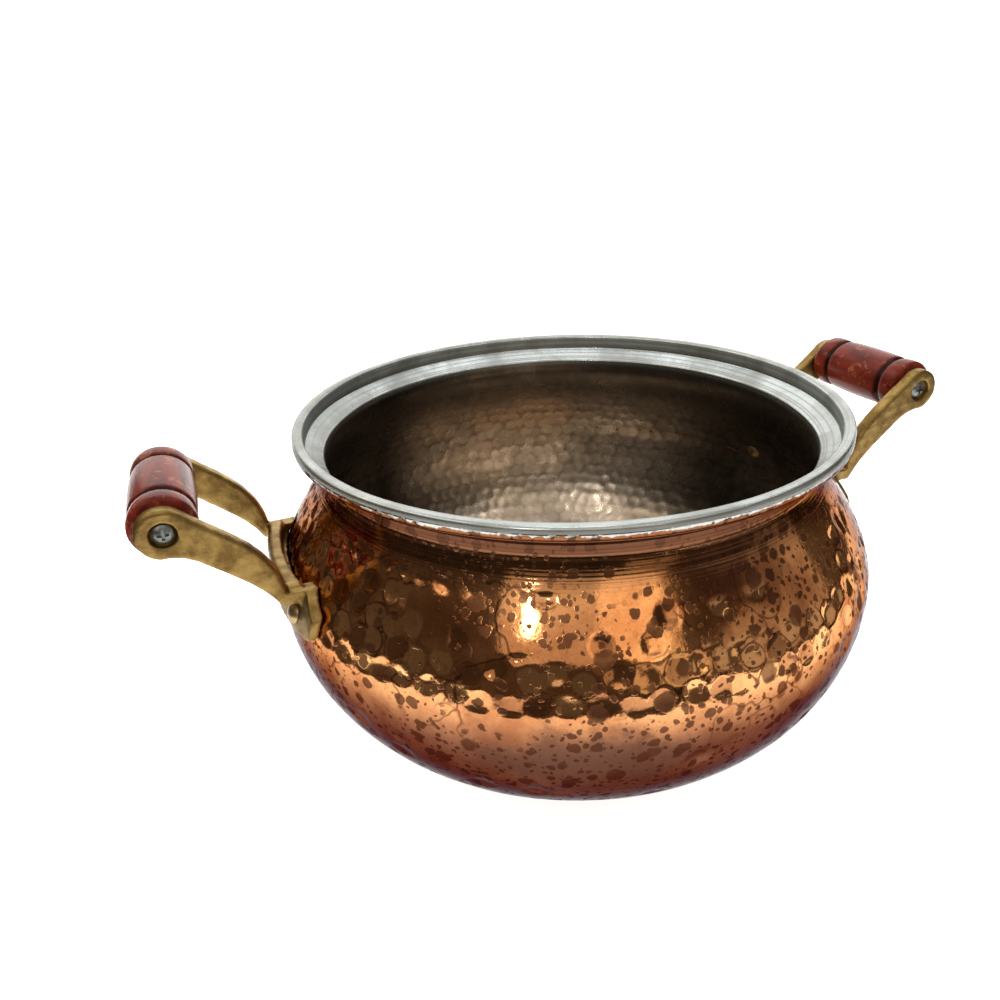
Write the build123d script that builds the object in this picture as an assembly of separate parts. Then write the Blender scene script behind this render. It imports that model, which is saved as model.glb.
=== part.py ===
from build123d import *
import math
import os

# Vessel, in millimetres. The origin is the middle of the base's underside, +Z is up
pot_height = 144.0
lip_diameter = 241.0
lip_band = 5.6
rim_wire_diameter = 1.9
wire_clearance = 0.1
roll_inner_radius = 0.3
seam_gap = 0.5
seat_depth = 7.2
ledge_fall = 4.8
seat_corner_radius = 0.8
mouth_diameter = 215.8
neck_drop = 16.0
belly_diameter = 269.2
belly_drop = 71.0
shoulder_pull_neck = 12.0
shoulder_pull_belly = 24.0
base_diameter = 130.0
copper_wall = 1.1
tin_skin = 0.25
tin_band = 2.6

# Handle brackets, one casting each, at +X and -X
bracket_width = 68.2
arm_thickness = 6.2
arm_edge_radius = 1.5
grip_reach = 172.4
grip_drop = 11.8
eye_radius = 10.0
eye_neck_angle = 30.0
arm_root_drop = 44.5
arm_top_height = 10.7
arm_top_share = 0.32
arm_back_height = 10.9
arm_back_share = 0.61
arm_heel_height = 7.0
arm_heel_share = 0.91
arm_under_height = 4.2
arm_under_share = 0.25
arm_waist_height = 2.8
arm_waist_share = 0.47
arm_foot_height = 2.4
arm_foot_share = 0.9
arm_blank_depth = 19.0
root_top_inset = 3.5
root_top_fall = 1.5
root_under_inset = 0.7
root_under_fall = 7.0
bar_reach = 137.5
bar_thickness = 6.0
bar_top_drop = 44.2
bar_height = 8.4
bar_edge_radius = 2.2
ear_span = 89.0
ear_top_drop = 51.5
ear_height = 12.0
ear_end_height = 9.0
ear_shoulder_drop = 46.5
ear_corner_radius = 2.5
ear_thickness = 4.0
bracket_seat_gap = 0.05

# Grips and their screws
grip_diameter = 24.6
grip_end_diameter = 22.0
grip_barrel_rise = 0.5
grip_bead_length = 8.5
grip_groove_width = 2.8
grip_groove_depth = 1.7
grip_end_clearance = 0.3
screw_shank_diameter = 4.0
screw_length = 24.0
screw_point_length = 4.0
screw_head_diameter = 7.6
screw_head_height = 2.1
screw_head_edge = 0.8
screw_recess_diameter = 9.7
screw_recess_depth = 2.6
screw_running_clearance = 0.08
screw_head_clearance = 0.1
screw_pilot_clearance = 0.05
cross_slot_width = 1.1
cross_slot_span = 4.2
cross_slot_depth = 1.3

# Rivets through the ears and the wall
rivet_angle = 12.6
rivet_drop = 58.5
rivet_shank_diameter = 5.0
rivet_head_diameter = 9.0
rivet_head_height = 2.3
rivet_burr_diameter = 8.4
rivet_burr_height = 1.6
burr_seat_gap = 0.3
rivet_hole_clearance = 0.05

# Sizes that follow from the ones above
skin_and_wall = tin_skin + copper_wall
lip_radius = lip_diameter / 2
lip_width = rim_wire_diameter + 2 * (skin_and_wall + wire_clearance)
seat_radius = lip_radius - lip_width
mouth_radius = mouth_diameter / 2
neck_radius = mouth_radius + skin_and_wall
belly_radius = belly_diameter / 2
base_radius = base_diameter / 2
belly_level = pot_height - belly_drop
neck_level = pot_height - neck_drop
roll_radius = skin_and_wall + roll_inner_radius
bracket_half = bracket_width / 2
grip_level = pot_height - grip_drop
grip_half = bracket_half - arm_thickness - grip_end_clearance
head_seat = bracket_half - screw_recess_depth + screw_head_clearance
arm_root_reach = bar_reach
root_top_reach = arm_root_reach - root_top_inset
root_top_drop = arm_root_drop + root_top_fall
root_under_reach = arm_root_reach - root_under_inset
root_under_drop = arm_root_drop + root_under_fall


def belly_curve():
    """Outside of the copper from the base's edge up to the belly, a quarter of an ellipse."""
    return EllipticalCenterArc(
        (base_radius, belly_level), belly_radius - base_radius, belly_level, start_angle=270, arc_size=90
    )


def shoulder_curve():
    """Outside of the copper from the belly up to the neck, upright at both ends."""
    return Bezier(
        (belly_radius, belly_level),
        (belly_radius, belly_level + shoulder_pull_belly),
        (neck_radius, neck_level - shoulder_pull_neck),
        (neck_radius, neck_level),
    )


def moved_in(curve, distance, count=14):
    """The curve moved square to itself by distance, towards the inside of the pot."""
    steps = [index / (count - 1) for index in range(count)]
    points = []
    for step in steps:
        spot = curve.position_at(step)
        heading = curve.tangent_at(step)
        points.append((spot.X - distance * heading.Y, spot.Y + distance * heading.X))
    return Spline(*points, tangents=[curve.tangent_at(0), curve.tangent_at(1)])


def mouth_corners():
    """Corners of the exposed surface from the neck over the ledge and the lip to the seam."""
    ledge_level = pot_height - seat_depth - ledge_fall
    seat_level = pot_height - seat_depth
    band_level = pot_height - lip_band
    seam_radius = seat_radius + skin_and_wall + seam_gap
    return [
        (mouth_radius, neck_level),
        (mouth_radius, ledge_level),
        (seat_radius, seat_level),
        (seat_radius, pot_height),
        (lip_radius, pot_height),
        (lip_radius, band_level),
        (seam_radius, band_level),
    ]


def moved_corners(corners, distance):
    """Corners of the same line moved into the metal by distance, with the corners kept sharp."""
    headings = []
    for start, end in zip(corners, corners[1:]):
        length = math.hypot(end[0] - start[0], end[1] - start[1])
        headings.append(((end[0] - start[0]) / length, (end[1] - start[1]) / length))
    before = [headings[0]] + headings
    after = headings + [headings[-1]]
    moved = []
    for corner, first, second in zip(corners, before, after):
        share = distance / (1 + first[0] * second[0] + first[1] * second[1])
        moved.append((corner[0] + share * (first[1] + second[1]), corner[1] - share * (first[0] + second[0])))
    return moved


def mouth_line(distance, corners):
    """The mouth's line at a depth into the metal, with its bends rounded about the same centres."""
    bend = roll_radius - distance
    radii = [bend, seat_corner_radius + distance, bend, bend, bend]
    return FilletPolyline(*moved_corners(corners, distance), radius=radii[: len(corners) - 2])


def revolved(edges):
    """The solid that a closed outline of radius and height sweeps about the pot's axis."""
    return revolve(Plane.XZ * make_face(Curve() + edges), Axis.Z)


def pot_shell():
    """One sheet of copper: base, belly, neck, lid ledge and the lip that is rolled over its wire."""
    outside = mouth_line(skin_and_wall, mouth_corners())
    inside = mouth_line(tin_skin, mouth_corners())
    inner_belly = moved_in(belly_curve(), copper_wall)
    inner_shoulder = moved_in(shoulder_curve(), copper_wall)
    edges = [
        Line((0, 0), (base_radius, 0)),
        belly_curve(),
        shoulder_curve(),
        outside,
        Line(outside @ 1, inside @ 1),
        inside,
        inner_shoulder,
        inner_belly,
        Line((base_radius, copper_wall), (0, copper_wall)),
        Line((0, copper_wall), (0, 0)),
    ]
    return revolved(edges)


def tin_lining():
    """The tin wiped over the whole inside, the ledge and the top of the lip."""
    corners = mouth_corners()[:5] + [(lip_radius, pot_height - tin_band)]
    exposed = mouth_line(0, corners)
    against_copper = mouth_line(tin_skin, corners)
    edges = [
        Line((0, copper_wall), (base_radius, copper_wall)),
        moved_in(belly_curve(), copper_wall),
        moved_in(shoulder_curve(), copper_wall),
        against_copper,
        Line(against_copper @ 1, exposed @ 1),
        exposed,
        moved_in(shoulder_curve(), skin_and_wall),
        moved_in(belly_curve(), skin_and_wall),
        Line((base_radius, skin_and_wall), (0, skin_and_wall)),
        Line((0, skin_and_wall), (0, copper_wall)),
    ]
    return revolved(edges)


def rim_wire():
    """The wire that the lip is rolled round."""
    ring_radius = lip_radius - lip_width / 2
    return Pos(0, 0, pot_height - lip_band / 2) * Torus(ring_radius, rim_wire_diameter / 2)


def filled_pot(growth):
    """The pot as a filled body up to the neck, grown by an amount square to its surface."""
    edges = [
        Line((0, -growth), (base_radius, -growth)),
        moved_in(belly_curve(), -growth),
        moved_in(shoulder_curve(), -growth),
        Line((neck_radius + growth, neck_level), (0, neck_level)),
        Line((0, neck_level), (0, -growth)),
    ]
    return revolved(edges)


def arm_point(share, height):
    """A point of the arm's outline: a share of the way from eye to root, and a height above that line."""
    run = Vector(arm_root_reach - grip_reach, grip_drop - arm_root_drop)
    ahead = run.normalized()
    start = Vector(grip_reach, grip_level)
    return start + run * share + Vector(ahead.Y, -ahead.X) * height


def arm_outline():
    """Side view of one arm's blank, from its round eye down to the wall and on into it."""
    eye = Vector(grip_reach, grip_level)
    eye_top = arm_point(0, eye_radius)
    eye_under = eye + (arm_point(0, -eye_radius) - eye).rotate(Axis.Z, -eye_neck_angle)
    eye_tip = eye + (eye - arm_point(1, 0)).normalized() * eye_radius
    root_top = Vector(root_top_reach, pot_height - root_top_drop)
    root_under = Vector(root_under_reach, pot_height - root_under_drop)
    buried_top = Vector(belly_radius - arm_blank_depth, root_top.Y)
    buried_under = Vector(belly_radius - arm_blank_depth, root_under.Y)
    top = Spline(
        eye_top,
        arm_point(arm_top_share, arm_top_height),
        arm_point(arm_back_share, arm_back_height),
        arm_point(arm_heel_share, arm_heel_height),
        root_top,
    )
    under = Spline(
        eye_under,
        arm_point(arm_under_share, -arm_under_height),
        arm_point(arm_waist_share, -arm_waist_height),
        arm_point(arm_foot_share, -arm_foot_height),
        root_under,
    )
    buried = Polyline(root_top, buried_top, buried_under, root_under)
    return make_face(Curve() + [ThreePointArc(eye_under, eye_tip, eye_top), top, buried, under])


def arm(side):
    """One cast arm, square to Y, with its long edges eased."""
    inner_face = bracket_half - arm_thickness
    plate = extrude(Plane.XZ * arm_outline(), arm_thickness)
    plate = fillet(plate.edges().filter_by(GeomType.LINE, reverse=True), arm_edge_radius)
    offset = bracket_half if side > 0 else -inner_face
    return Pos(0, offset, 0) * plate


def bar():
    """The curved bar that joins the arms and stands clear of the pot's wall."""
    length = bracket_width - arm_thickness
    ring = extrude(Circle(bar_reach) - Circle(bar_reach - bar_thickness), bar_height)
    ring = fillet(ring.edges().group_by(SortBy.LENGTH)[-1], bar_edge_radius)
    reach = 2 * bar_reach
    middle = pot_height - bar_top_drop - bar_height
    return (Pos(0, 0, middle) * ring) & (Pos(reach / 2, 0, middle) * Box(reach, length, reach))


def ears():
    """The strip that lies on the wall, with a rivet's tongue outside each arm."""
    strip = filled_pot(bracket_seat_gap + ear_thickness) - filled_pot(bracket_seat_gap)
    top = pot_height - ear_top_drop
    foot = top - ear_height
    arm_inside = bracket_half - arm_thickness
    arm_middle = bracket_half - arm_thickness / 2
    half = [
        (0, foot),
        (ear_span / 2, foot),
        (ear_span / 2, foot + ear_end_height),
        (bracket_half, pot_height - ear_shoulder_drop),
        (arm_inside, pot_height - ear_shoulder_drop),
        (arm_inside, top),
        (0, top),
    ]
    outline = Polyline(*half) + mirror(Polyline(*half), Plane.YZ)
    face = make_face(outline)
    face = fillet(face.vertices().filter_by(lambda corner: abs(corner.X) > arm_middle), ear_corner_radius)
    return strip & extrude(Plane.YZ * face, belly_radius + 2 * ear_thickness)


def eye_cuts():
    """The screw's running hole and head recess through both eyes."""
    hole = Cylinder(screw_shank_diameter / 2 + screw_running_clearance, 2 * bracket_width, rotation=(90, 0, 0))
    recess = Cylinder(screw_recess_diameter / 2, 2 * screw_recess_depth, rotation=(90, 0, 0))
    cuts = hole + Pos(0, bracket_half, 0) * recess + Pos(0, -bracket_half, 0) * recess
    return Pos(grip_reach, 0, grip_level) * cuts


def wall_spot(level):
    """The radius of the shoulder's outside at a level, and the angle by which it faces up."""
    curve = shoulder_curve()
    low = 0.0
    high = 1.0
    for _ in range(40):
        middle = (low + high) / 2
        if curve.position_at(middle).Y < level:
            low = middle
        else:
            high = middle
    heading = curve.tangent_at(low)
    return curve.position_at(low).X, math.atan2(-heading.X, heading.Y)


def rivet_plane(side):
    """The plane on the wall's outside, square to a rivet."""
    radius, tilt = wall_spot(pot_height - rivet_drop)
    turn = math.radians(side * rivet_angle)
    outward = Vector(
        math.cos(tilt) * math.cos(turn),
        math.cos(tilt) * math.sin(turn),
        math.sin(tilt),
    )
    spot = (radius * math.cos(turn), radius * math.sin(turn), pot_height - rivet_drop)
    return Plane(origin=spot, z_dir=outward)


def rivet_hole(side):
    """The hole through ear, copper and tin for one rivet."""
    reach = 4 * (ear_thickness + skin_and_wall)
    return rivet_plane(side) * Cylinder(rivet_shank_diameter / 2 + rivet_hole_clearance, reach)


def dome(half_width, base, top):
    """The arc of a round cap, from its edge to its crown on the axis."""
    rise = top - base
    ball = (half_width**2 + rise**2) / (2 * rise)
    swing = math.asin(half_width / ball) / 2
    middle = (ball * math.sin(swing), top - ball * (1 - math.cos(swing)))
    return ThreePointArc((half_width, base), middle, (0, top))


def rivet(side):
    """One rivet: its domed head on the ear, its shank and its hammered end on the tin."""
    head = rivet_head_diameter / 2
    shank = rivet_shank_diameter / 2
    burr = rivet_burr_diameter / 2
    outer_seat = bracket_seat_gap + ear_thickness
    inner_seat = -skin_and_wall - burr_seat_gap
    crown = outer_seat + rivet_head_height
    end = inner_seat - rivet_burr_height
    outline = [
        dome(head, outer_seat, crown),
        Line((head, outer_seat), (shank, outer_seat)),
        Line((shank, outer_seat), (shank, inner_seat)),
        Line((shank, inner_seat), (burr, inner_seat)),
        dome(burr, inner_seat, end),
        Line((0, end), (0, crown)),
    ]
    return rivet_plane(side) * revolved(outline)


def handle_bracket():
    """One brass casting: two arms with eyes, the bar between them and the riveted ears."""
    casting = (arm(1) + arm(-1) + bar() - filled_pot(bracket_seat_gap) + ears()).clean()
    return casting - eye_cuts() - rivet_hole(1) - rivet_hole(-1)


def grip_outline():
    """Half of the turned grip's outline, from the middle of its length to one end."""
    radius = grip_diameter / 2
    groove_near = grip_half - grip_bead_length - grip_groove_width
    groove_far = grip_half - grip_bead_length
    groove_middle = (groove_near + groove_far) / 2
    end_easing = (grip_diameter - grip_end_diameter) / 2
    return [
        ThreePointArc(
            (-groove_near, radius), (0, radius + grip_barrel_rise), (groove_near, radius)
        ),
        ThreePointArc(
            (groove_near, radius), (groove_middle, radius - grip_groove_depth), (groove_far, radius)
        ),
        Line((groove_far, radius), (grip_half - end_easing, radius)),
        RadiusArc((grip_half - end_easing, radius), (grip_half, radius - end_easing), end_easing),
        Line((grip_half, radius - end_easing), (grip_half, 0)),
    ]


def grip():
    """The turned wooden grip, with its pilot holes, along Y and centred on the origin."""
    half = grip_outline()
    mirrored = [mirror(edge, Plane.YZ) for edge in half[1:]]
    face = make_face(Curve() + half + mirrored + [Line((-grip_half, 0), (grip_half, 0))])
    body = Rot(0, 0, 90) * revolve(face, Axis.X)
    pilot_depth = screw_length - (head_seat - grip_half) + screw_pilot_clearance
    pilot = Cylinder(
        screw_shank_diameter / 2 + screw_pilot_clearance,
        pilot_depth,
        rotation=(90, 0, 0),
    )
    middle = grip_half - pilot_depth / 2
    return body - Pos(0, middle, 0) * pilot - Pos(0, -middle, 0) * pilot


def grip_screw():
    """One wood screw, along Z with the underside of its head at the origin and its point down."""
    shank = screw_shank_diameter / 2
    half_head = screw_head_diameter / 2
    shoulder = screw_point_length - screw_length
    outline = [
        Line((0, -screw_length), (shank, shoulder)),
        Line((shank, shoulder), (shank, 0)),
        Line((shank, 0), (half_head, 0)),
        Line((half_head, 0), (half_head, screw_head_edge)),
        dome(half_head, screw_head_edge, screw_head_height),
        Line((0, screw_head_height), (0, -screw_length)),
    ]
    body = revolved(outline)
    slot = Box(cross_slot_span, cross_slot_width, 2 * cross_slot_depth)
    cross = slot + Rot(0, 0, 90) * slot
    return body - Pos(0, 0, screw_head_height) * cross


def write(name, solid):
    """Write one piece to its own file."""
    export_step(solid, os.path.join("parts", name + ".step"))


def main():
    os.makedirs("parts", exist_ok=True)
    other_side = Rot(0, 0, 180)
    bracket = handle_bracket()
    holes = rivet_hole(1) + rivet_hole(-1)
    holes = holes + other_side * holes
    shell = pot_shell() - holes
    lining = tin_lining() - holes
    write("pot_shell", shell)
    write("tin_lining", lining)
    write("rim_wire", rim_wire())
    grip_place = Pos(grip_reach, 0, grip_level)
    screw_places = {
        "front": Pos(0, -head_seat, 0) * Rot(90, 0, 0),
        "rear": Pos(0, head_seat, 0) * Rot(-90, 0, 0),
    }
    # The left handle is the right one turned half round, so its front is the right one's rear
    for hand, turn, ends in (("right", Rot(0, 0, 0), ("front", "rear")), ("left", other_side, ("rear", "front"))):
        write(hand + "_handle_bracket", turn * bracket)
        write(hand + "_grip", turn * grip_place * grip())
        for end, place, side in zip(ends, ("front", "rear"), (-1, 1)):
            write(hand + "_" + end + "_screw", turn * grip_place * screw_places[place] * grip_screw())
            write(hand + "_" + end + "_rivet", turn * rivet(side))


main()
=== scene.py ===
# %% [markdown]
# # Dressing a copper stockpot
#
# The CAD model already has every piece at its real size and place. This lesson loads it, and gives each
# piece the surface of the real pot: hammered copper outside, worn tin inside, cast brass handles, lacquered
# wooden grips. Nothing here changes a size. All lengths are in metres, so a value named mm turns
# millimetres into metres.

# %% Load the frame
import math
import bpy
import numpy as np
from mathutils import Matrix


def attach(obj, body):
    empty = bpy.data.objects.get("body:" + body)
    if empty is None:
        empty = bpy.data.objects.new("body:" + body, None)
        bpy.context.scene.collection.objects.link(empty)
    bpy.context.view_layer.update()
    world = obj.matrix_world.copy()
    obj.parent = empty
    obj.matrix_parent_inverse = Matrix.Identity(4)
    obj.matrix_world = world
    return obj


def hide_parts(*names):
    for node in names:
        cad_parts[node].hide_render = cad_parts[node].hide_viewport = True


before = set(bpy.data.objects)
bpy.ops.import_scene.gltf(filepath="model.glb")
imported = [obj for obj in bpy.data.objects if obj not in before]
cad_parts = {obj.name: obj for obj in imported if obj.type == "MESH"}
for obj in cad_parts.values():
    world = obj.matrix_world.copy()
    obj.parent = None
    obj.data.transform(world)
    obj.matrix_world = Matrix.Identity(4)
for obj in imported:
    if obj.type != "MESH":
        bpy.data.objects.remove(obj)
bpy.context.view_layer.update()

mm = 0.001
up = np.array([0, 0, 1.0])

# %% [markdown]
# ## Meshes from grids
#
# A turned shape is one profile carried round an axis. With numpy the whole surface is worked out at once:
# rows run along the profile, columns run round it. The mesh gets its points and faces through foreach_set,
# which is fast enough for a hundred thousand points. The rows' two ends are closed by a fan at the axis.


# %% Surfaces with closed seams
def grid_faces(rows, columns, closed=True):
    """Quads between neighbouring rows and columns. In a closed grid the last column joins the first one."""
    last_start = columns if closed else columns - 1
    row, column = np.meshgrid(np.arange(rows - 1), np.arange(last_start), indexing="ij")
    after = (column + 1) % columns
    here, above = row * columns, (row + 1) * columns
    return np.stack([here + column, here + after, above + after, above + column], axis=-1).reshape(-1, 4)


def mesh_from(name, points, quads, fans=()):
    """A smooth-shaded object from an array of points, an array of quads and an array of triangles."""
    mesh = bpy.data.meshes.new(name)
    triangles = np.asarray(fans, dtype=np.int64).reshape(-1, 3)
    corners = np.concatenate([quads.ravel(), triangles.ravel()])
    starts = np.concatenate([np.arange(len(quads)) * 4, len(quads) * 4 + np.arange(len(triangles)) * 3])
    mesh.vertices.add(len(points))
    mesh.vertices.foreach_set("co", np.asarray(points, dtype=np.float32).ravel())
    mesh.loops.add(len(corners))
    mesh.loops.foreach_set("vertex_index", corners.astype(np.int32))
    mesh.polygons.add(len(starts))
    mesh.polygons.foreach_set("loop_start", starts.astype(np.int32))
    mesh.polygons.foreach_set("use_smooth", np.ones(len(starts), dtype=bool))
    mesh.update(calc_edges=True)
    mesh.validate()
    thing = bpy.data.objects.new(name, mesh)
    bpy.context.scene.collection.objects.link(thing)
    print(name, "points", len(points), "triangles", 2 * len(quads) + len(triangles))
    return thing


def turned(name, radius, height, columns, lift):
    """A profile of radius and height turned round Z, with a lift of each point along its normal.

    Point (row, column) is (r cos a, r sin a, h), where a is the column's angle. The lift moves it along the
    profile's outward normal (dh, -dr), turned the same way. The profile starts and ends on the axis.
    """
    run, rise = np.gradient(radius), np.gradient(height)
    length = np.hypot(run, rise)
    angle = 2 * np.pi * np.arange(columns) / columns
    moved_radius = radius[:, None] + lift * (rise / length)[:, None]
    moved_height = height[:, None] - lift * (run / length)[:, None]
    rings = np.stack([moved_radius * np.cos(angle), moved_radius * np.sin(angle), moved_height], axis=-1)
    ends = np.array([[0, 0, height[0]], [0, 0, height[-1]]])
    points = np.concatenate([rings[1:-1].reshape(-1, 3), ends])
    rows = len(radius) - 2
    around = np.arange(columns)
    after = (around + 1) % columns
    first_end = rows * columns
    last_row = first_end - columns
    foot = np.stack([np.full(columns, first_end), after, around], axis=-1)
    top = np.stack([np.full(columns, first_end + 1), last_row + around, last_row + after], axis=-1)
    return mesh_from(name, points, grid_faces(rows, columns), np.concatenate([foot, top]))


def keep_marks(thing, name, *grids):
    """Store two or three grids of numbers on a turned mesh as a colour, for its material to follow.

    The grids have the profile's rows. Its two ends are single points, which come last and get zeros.
    """
    filled = [*grids, *[np.ones(grids[0].shape)] * (4 - len(grids))]
    colours = np.stack(filled, axis=-1)[1:-1].reshape(-1, 4)
    layer = thing.data.attributes.new(name, "FLOAT_COLOR", "POINT")
    layer.data.foreach_set("color", np.concatenate([colours, np.zeros((2, 4))]).astype(np.float32).ravel())
    print(name, "marks on", thing.name)


print("faces of a ring of 2 rows and 8 columns", len(grid_faces(2, 8)))

# %% [markdown]
# ## The pot's own curve
#
# The belly is a quarter of an ellipse, the shoulder is one cubic curve, and the mouth is a line of straight
# runs with rounded bends. These are the same values that the CAD source uses, so the dressed pot lies on the
# solid one. Each stretch gets its own row spacing: wide on the plain belly, fine on the neck and the lip.

# %% The pot's sizes
lip_radius = 120.5 * mm
seat_radius = 115.7 * mm
mouth_radius = 107.9 * mm
pot_height = 144.0 * mm
neck_level = 128.0 * mm
ledge_level = 132.0 * mm
seat_level = 136.8 * mm
band_level = 138.4 * mm
belly_radius = 134.6 * mm
belly_level = 73.0 * mm
base_radius = 65.0 * mm
belly_pull = 24 * mm
neck_pull = 12 * mm
copper_wall = 1.1 * mm
tin_skin_depth = 0.25 * mm
both_walls = 1.35 * mm
roll_radius = 1.65 * mm
seat_bend = 0.8 * mm
tin_edge = 141.4 * mm
print("pot of radius", belly_radius, "and height", pot_height)


# %% Curves with even rows
def length_along(points):
    """The length run so far at each point of a polyline."""
    return np.concatenate([[0], np.cumsum(np.hypot(*np.diff(points, axis=0).T))])


def spaced(points, step):
    """Points at an even spacing along a polyline, ends kept."""
    points = np.asarray(points, dtype=float)
    length = length_along(points)
    count = max(2, int(math.ceil(length[-1] / step)) + 1)
    wanted = np.linspace(0, length[-1], count)
    return np.stack([np.interp(wanted, length, values) for values in points.T], axis=1)


def moved(points, distance):
    """A profile moved square to itself, to the left of its run, which is the pot's inside on the way up."""
    run = np.gradient(points, axis=0)
    run /= np.linalg.norm(run, axis=1, keepdims=True)
    return points + distance * np.stack([-run[:, 1], run[:, 0]], axis=1)


def belly_and_shoulder(distance, count=400):
    """The wall from the base's edge to the neck, moved inwards by distance.

    The belly is (base + (belly - base) sin t, level (1 - cos t)), and the shoulder is the cubic curve through
    the belly and the neck with upright ends.
    """
    t = np.linspace(0, np.pi / 2, count)
    belly = np.stack(
        [base_radius + (belly_radius - base_radius) * np.sin(t), belly_level * (1 - np.cos(t))], axis=1
    )
    u = np.linspace(0, 1, count)[1:, None]
    neck_radius = mouth_radius + both_walls
    start = np.array([belly_radius, belly_level])
    start_pull = np.array([belly_radius, belly_level + belly_pull])
    end_pull = np.array([neck_radius, neck_level - neck_pull])
    end = np.array([neck_radius, neck_level])
    shoulder = (
        (1 - u) ** 3 * start + 3 * u * (1 - u) ** 2 * start_pull + 3 * u**2 * (1 - u) * end_pull + u**3 * end
    )
    return moved(np.concatenate([belly, shoulder]), distance)


def rounded(corners, radii, count=7):
    """A polyline with its inner corners replaced by arcs of the given radii.

    An arc touches both runs at radius times tan(turn / 2) from the corner, and is drawn by turning the
    radius from the first touch point to the second one.
    """
    corners = np.asarray(corners, dtype=float)
    path = [corners[:1]]
    for before, corner, after, radius in zip(corners, corners[1:], corners[2:], radii):
        way_in = (corner - before) / np.linalg.norm(corner - before)
        way_out = (after - corner) / np.linalg.norm(after - corner)
        turn = math.atan2(way_in[0] * way_out[1] - way_in[1] * way_out[0], way_in @ way_out)
        touch = corner - way_in * radius * math.tan(abs(turn) / 2)
        centre = touch + math.copysign(1, turn) * radius * np.array([-way_in[1], way_in[0]])
        angle = np.linspace(0, turn, count)
        spoke = touch - centre
        path.append(centre + np.stack([
            spoke[0] * np.cos(angle) - spoke[1] * np.sin(angle),
            spoke[0] * np.sin(angle) + spoke[1] * np.cos(angle),
        ], axis=1))
    path.append(corners[-1:])
    return np.concatenate(path)


lip_line = rounded(
    [
        (mouth_radius, neck_level),
        (mouth_radius, ledge_level),
        (seat_radius, seat_level),
        (seat_radius, pot_height),
        (lip_radius, pot_height),
        (lip_radius, tin_edge),
    ],
    [roll_radius, seat_bend, roll_radius, roll_radius],
)
print("lip line of", len(lip_line), "points")

# %% [markdown]
# ## Hammer marks
#
# The smith works round the pot with a round-faced hammer, and each blow leaves a shallow dish with a crisp
# rim. One blow falls in each cell of a shaken grid, and alternate rows are shifted by half a cell. For every
# point the nearest blow is found among the nine cells around it. A blow of radius R and depth D makes the
# height -D (1 - (d / R)^2) at the distance d from its middle. A second, much longer wave makes the wall as
# uneven as a wall beaten by hand. A bump map would be lighter, but both are real geometry, because a
# mirror-like metal shows every slope, and the outline shows it too.

# %% Blows and waves
girth = 2 * np.pi * 125 * mm
wave_radius = 0.12
cell_margin = 0.3
cell_play = 0.4
beyond_any_blow = 9.0


def wall_grids(line, columns):
    """Two grids over a turned profile: the length along it, and the angle round the axis."""
    return np.meshgrid(length_along(line), 2 * np.pi * np.arange(columns) / columns, indexing="ij")


def blows(along, angle, size, seed):
    """The distance from each point to the nearest blow, as a share of the cell, and three chances of it.

    A blow sits in the middle 40 % of its cell.
    """
    round_way = angle * girth / (2 * np.pi)
    cells_round = int(round(girth / size))
    wide = girth / cells_round
    cells_along = int(along.max() / size) + 4
    chance = np.random.default_rng(seed).random((cells_along, cells_round, 5))
    row = np.floor(along / size).astype(int)
    column = np.floor(round_way / wide - 0.5 * (row % 2)).astype(int)
    nearest = np.full(along.shape, beyond_any_blow)
    luck = np.zeros(along.shape + (3,))
    for row_step in (-1, 0, 1):
        for column_step in (-1, 0, 1):
            r = np.clip(row + row_step, 0, cells_along - 1)
            c = column + column_step
            spot = chance[r, c % cells_round]
            far_along = (r + cell_margin + cell_play * spot[..., 0]) - along / size
            far_round = (c + 0.5 * (r % 2) + cell_margin + cell_play * spot[..., 1]) - round_way / wide
            far_round -= np.round(far_round / cells_round) * cells_round
            distance = np.hypot(far_along, far_round)
            closer = distance < nearest
            nearest = np.where(closer, distance, nearest)
            luck = np.where(closer[..., None], spot[..., 2:], luck)
    return nearest, luck


def dished(apart, blow_radius):
    """The share of a blow's depth at a distance from its middle: 1 - (d / R)^2, and 0 outside."""
    return np.clip(1 - (apart / blow_radius) ** 2, 0, 1)


def bump_between(value, low, high, soft):
    """1 between low and high, and 0 outside, with soft edges."""
    return np.clip((value - low) / soft + 0.5, 0, 1) * np.clip((high - value) / soft + 0.5, 0, 1)


def waves(along, angle, seed, count=14, longest=0.09, shortest=0.018):
    """A smooth wandering height between about -1 and 1: a sum of sines that close round the pot."""
    chance = np.random.default_rng(seed)
    total = np.zeros(np.broadcast(along, angle).shape)
    for length in np.geomspace(longest, shortest, count):
        times = max(1, int(round(2 * np.pi * wave_radius / length * chance.uniform(0.3, 1.0))))
        lean = chance.uniform(-1, 1) * 2 * np.pi / length
        shift = chance.uniform(0, 2 * np.pi)
        total += (length / longest) ** 0.6 * np.sin(times * angle + lean * along + shift)
    return total / np.abs(total).max()


print("a wave at two spots", waves(np.array([[0.0], [0.05]]), np.array([[0.0, 1.0]]), 3).round(2).tolist())

# %% [markdown]
# ## The copper body
#
# The outside is what the eye lands on. The CAD's own triangles are long slivers that can't hold a dent, so
# a new, even mesh is turned. It is the closed sheet: from the middle of the base up the outside to the
# rolled lip, then back down the hidden inside with only a few rows. Fine lines are turned into the neck, as
# the maker did on the lathe.

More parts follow.
